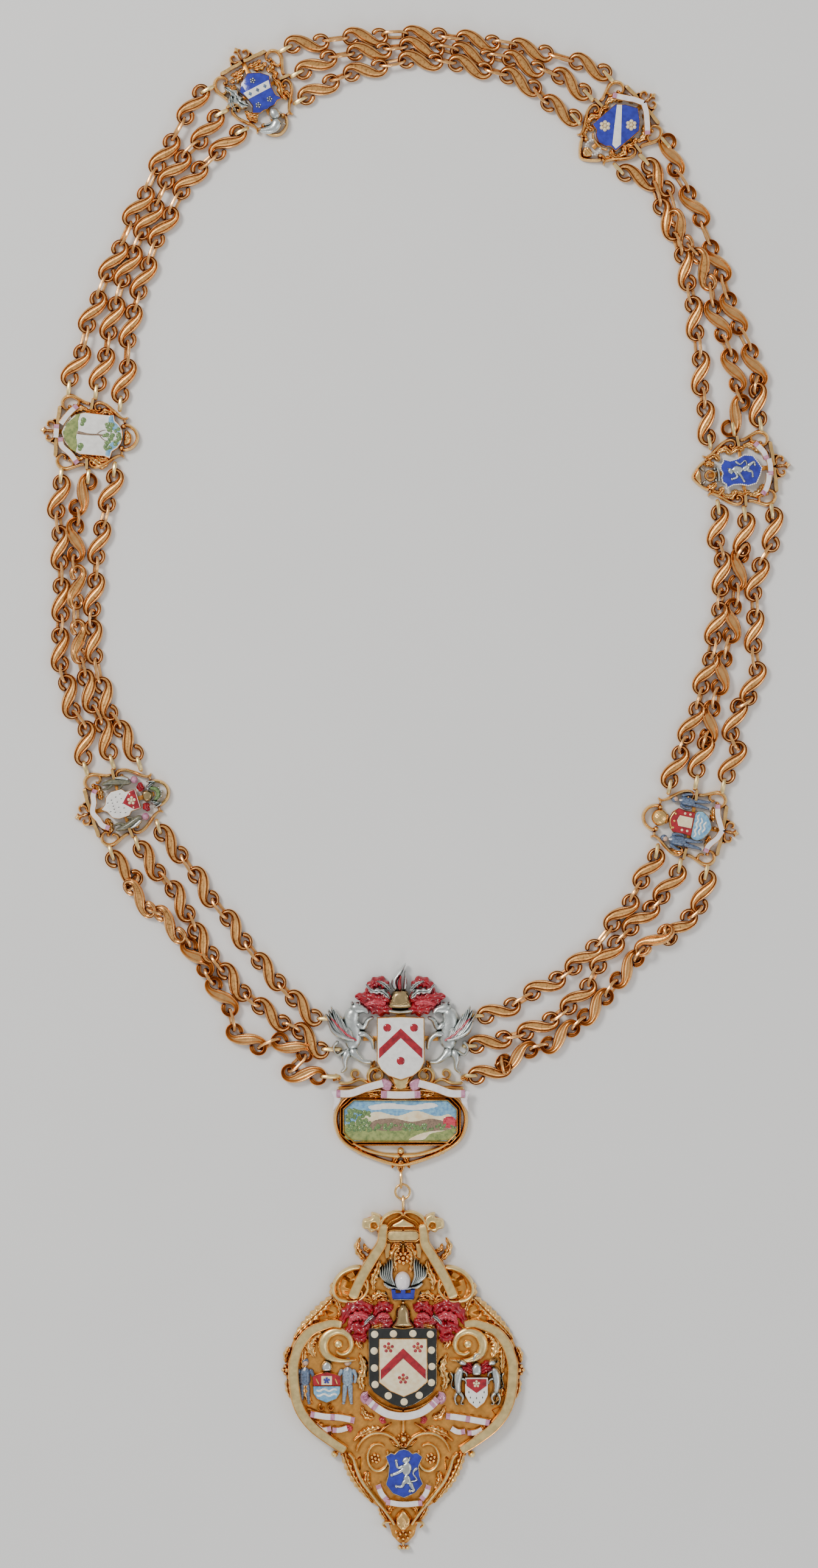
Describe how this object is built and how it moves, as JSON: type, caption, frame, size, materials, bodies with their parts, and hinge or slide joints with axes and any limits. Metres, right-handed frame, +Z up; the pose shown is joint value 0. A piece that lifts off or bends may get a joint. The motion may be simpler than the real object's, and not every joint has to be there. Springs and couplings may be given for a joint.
{
  "type": "chain of office",
  "caption": "Ceremonial neck chain lying flat: strands of gold scroll links joined by enamelled badges, with a centrepiece and a large enamelled pendant badge.",
  "frame": {"origin": "middle of the footprint, on the surface the chain lies on", "axes": "+Z up out of that surface, +Y from the pendant towards the nape of the neck, +X to the right"},
  "size_m": [0.3088, 0.6272, 0.0066],
  "materials": {
    "link_gold": "textured gold with polished rims",
    "frame_gold": "polished and chased gold",
    "silver": "oxidised silver, modelled",
    "bronze": "darkened gold",
    "blue_enamel": "glossy vitreous enamel",
    "white_enamel": "glossy vitreous enamel",
    "red_enamel": "glossy vitreous enamel",
    "black_enamel": "glossy vitreous enamel",
    "dark_enamel": "satin vitreous enamel",
    "painted_enamel": "painted vitreous enamel",
    "ribbon_enamel": "glossy vitreous enamel, white to mauve"
  },
  "bodies": {
    "root": {"badge_left_high_arms": "blue_enamel", "badge_left_high_frame": "frame_gold", "badge_left_low_arms": "white_enamel", "badge_left_low_frame": "frame_gold", "badge_left_low_ribbon": "ribbon_enamel", "badge_left_middle_arms": "painted_enamel", "badge_left_middle_frame": "frame_gold", "badge_left_middle_ribbon": "ribbon_enamel", "badge_right_high_arms": "blue_enamel", "badge_right_high_frame": "frame_gold", "badge_right_high_ribbon": "ribbon_enamel", "badge_right_low_arms": "red_enamel", "badge_right_low_frame": "frame_gold", "badge_right_low_ribbon": "ribbon_enamel", "badge_right_middle_arms": "blue_enamel", "badge_right_middle_frame": "frame_gold", "badge_right_middle_ribbon": "ribbon_enamel", "centre_crest": "red_enamel", "centre_frame": "frame_gold", "centre_griffin_left": "silver", "centre_griffin_right": "silver", "centre_picture": "painted_enamel", "centre_ribbon": "ribbon_enamel", "centre_shield": "white_enamel", "chain_1_inner": "link_gold", "chain_1_middle": "link_gold", "chain_1_outer": "link_gold", "chain_2_inner": "link_gold", "chain_2_middle": "link_gold", "chain_2_outer": "link_gold", "chain_3_inner": "link_gold", "chain_3_middle": "link_gold", "chain_3_outer": "link_gold", "chain_4_inner": "link_gold", "chain_4_middle": "link_gold", "chain_4_outer": "link_gold", "chain_5_inner": "link_gold", "chain_5_middle": "link_gold", "chain_5_outer": "link_gold", "chain_6_inner": "link_gold", "chain_6_middle": "link_gold", "chain_6_outer": "link_gold", "chain_7_inner": "link_gold", "chain_7_middle": "link_gold", "chain_7_outer": "link_gold", "jump_ring": "frame_gold", "pendant_crest": "silver", "pendant_frame": "frame_gold", "pendant_helmet": "bronze", "pendant_left_arms": "dark_enamel", "pendant_left_ribbon": "ribbon_enamel", "pendant_low_ribbon": "ribbon_enamel", "pendant_low_shield": "blue_enamel", "pendant_mantling_left": "red_enamel", "pendant_mantling_right": "red_enamel", "pendant_ribbon": "ribbon_enamel", "pendant_right_arms": "white_enamel", "pendant_right_ribbon": "ribbon_enamel", "pendant_shield": "black_enamel"}
  },
  "joints": []
}
